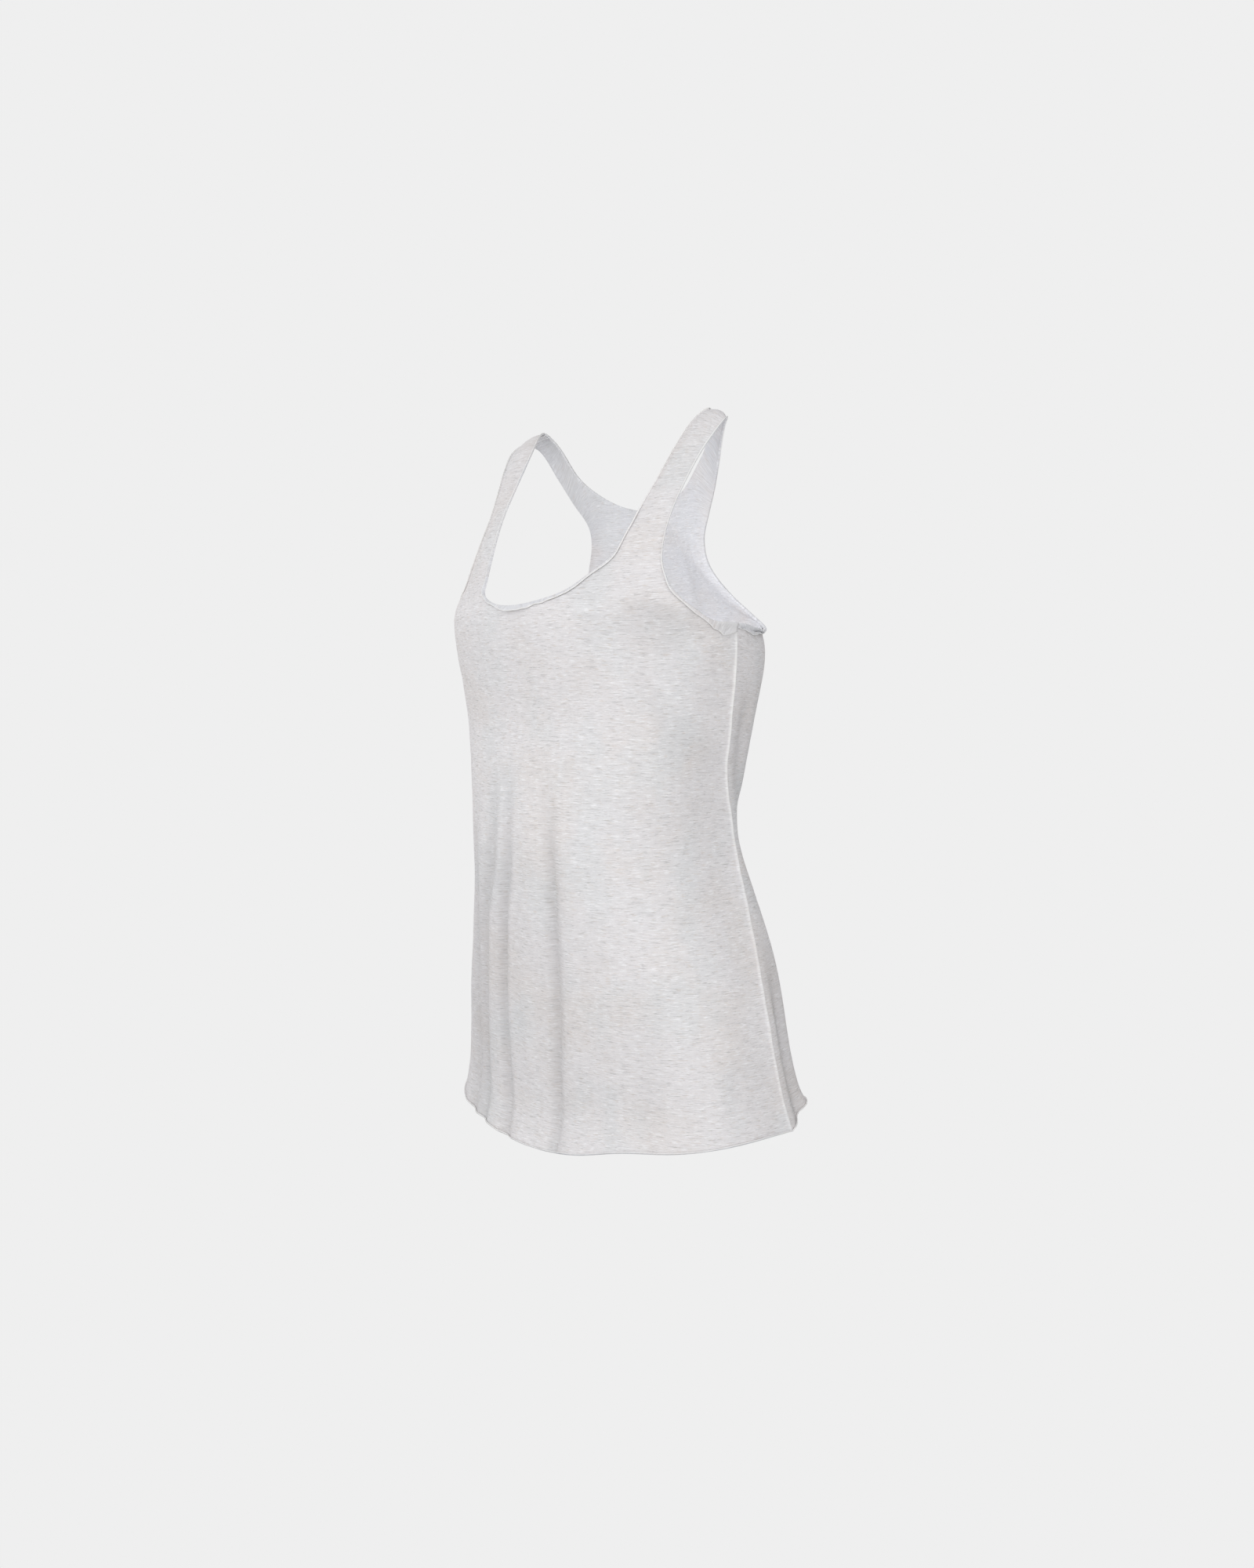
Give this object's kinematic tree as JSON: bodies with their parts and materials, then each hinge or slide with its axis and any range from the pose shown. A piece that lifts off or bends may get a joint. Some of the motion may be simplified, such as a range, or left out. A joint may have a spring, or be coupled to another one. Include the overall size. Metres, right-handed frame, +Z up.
{
  "type": "tank top",
  "caption": "Women's racer-back jersey tank top in its hollow worn form, deep scoop neck, cut-in armholes, curved raw hem.",
  "frame": {"origin": "midway between the two shoulder seams, level with the tops of the straps, where a wearer's shoulders hold the garment", "axes": "+Z up, -Y out of the front, +X towards the wearer's left side"},
  "size_m": [0.3794, 0.2481, 0.6654],
  "materials": {
    "jersey": "matt heathered single jersey, light grey"
  },
  "bodies": {
    "root": {"front_panel": "jersey", "back_panel": "jersey"}
  },
  "joints": []
}
